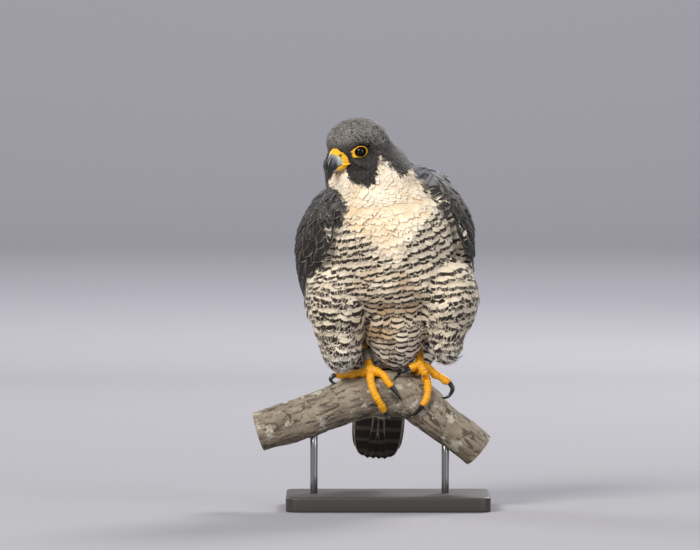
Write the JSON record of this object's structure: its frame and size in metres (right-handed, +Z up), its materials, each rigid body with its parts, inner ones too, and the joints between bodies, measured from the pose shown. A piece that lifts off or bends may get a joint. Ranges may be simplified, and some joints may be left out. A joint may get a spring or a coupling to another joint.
{
  "type": "peregrine falcon display model",
  "caption": "Life-size falcon model gripping a cut length of branch, head turned to its right, wings folded, on a flat display base with two rods.",
  "frame": {"origin": "centre of the stand base's underside", "axes": "+Z up, through the bird's crown; the bird's breast faces -Y and its right side is at -X"},
  "size_m": [0.2566, 0.1663, 0.4227],
  "materials": {
    "slate_feathers": "soft matt feathers, dark slate grey",
    "pale_feathers": "soft matt feathers, cream",
    "barred_feathers": "soft matt feathers, cream with dark bars",
    "wing_feathers": "firm matt feathers, brown-black",
    "tail_feathers": "firm matt feathers, dark with paler bars",
    "foot_skin": "scaly skin, satin",
    "claw_horn": "polished dark horn",
    "cere_skin": "smooth waxy skin",
    "bill_horn": "smooth horn, satin",
    "eye": "glass eye, clear gloss",
    "ring_metal": "plain, worn",
    "bark": "rough bark",
    "stand_board": "dark stained wood, satin",
    "stand_rod": "brushed"
  },
  "bodies": {
    "root": {"head": "slate_feathers", "neck": "pale_feathers", "trunk": "barred_feathers", "tail": "tail_feathers", "wing_left": "wing_feathers", "wing_right": "wing_feathers", "thigh_left": "barred_feathers", "thigh_right": "barred_feathers", "shank_left": "foot_skin", "shank_right": "foot_skin", "foot_left": "foot_skin", "foot_right": "foot_skin", "cere": "cere_skin", "bill_upper": "bill_horn", "bill_lower": "bill_horn", "eye_left": "eye", "eye_right": "eye", "leg_ring": "ring_metal", "perch": "bark", "stand_base": "stand_board", "stand_rod_left": "stand_rod", "stand_rod_right": "stand_rod", "claw_left_outer": "claw_horn", "claw_left_middle": "claw_horn", "claw_left_inner": "claw_horn", "claw_left_hind": "claw_horn", "claw_right_outer": "claw_horn", "claw_right_middle": "claw_horn", "claw_right_inner": "claw_horn", "claw_right_hind": "claw_horn"}
  },
  "joints": []
}
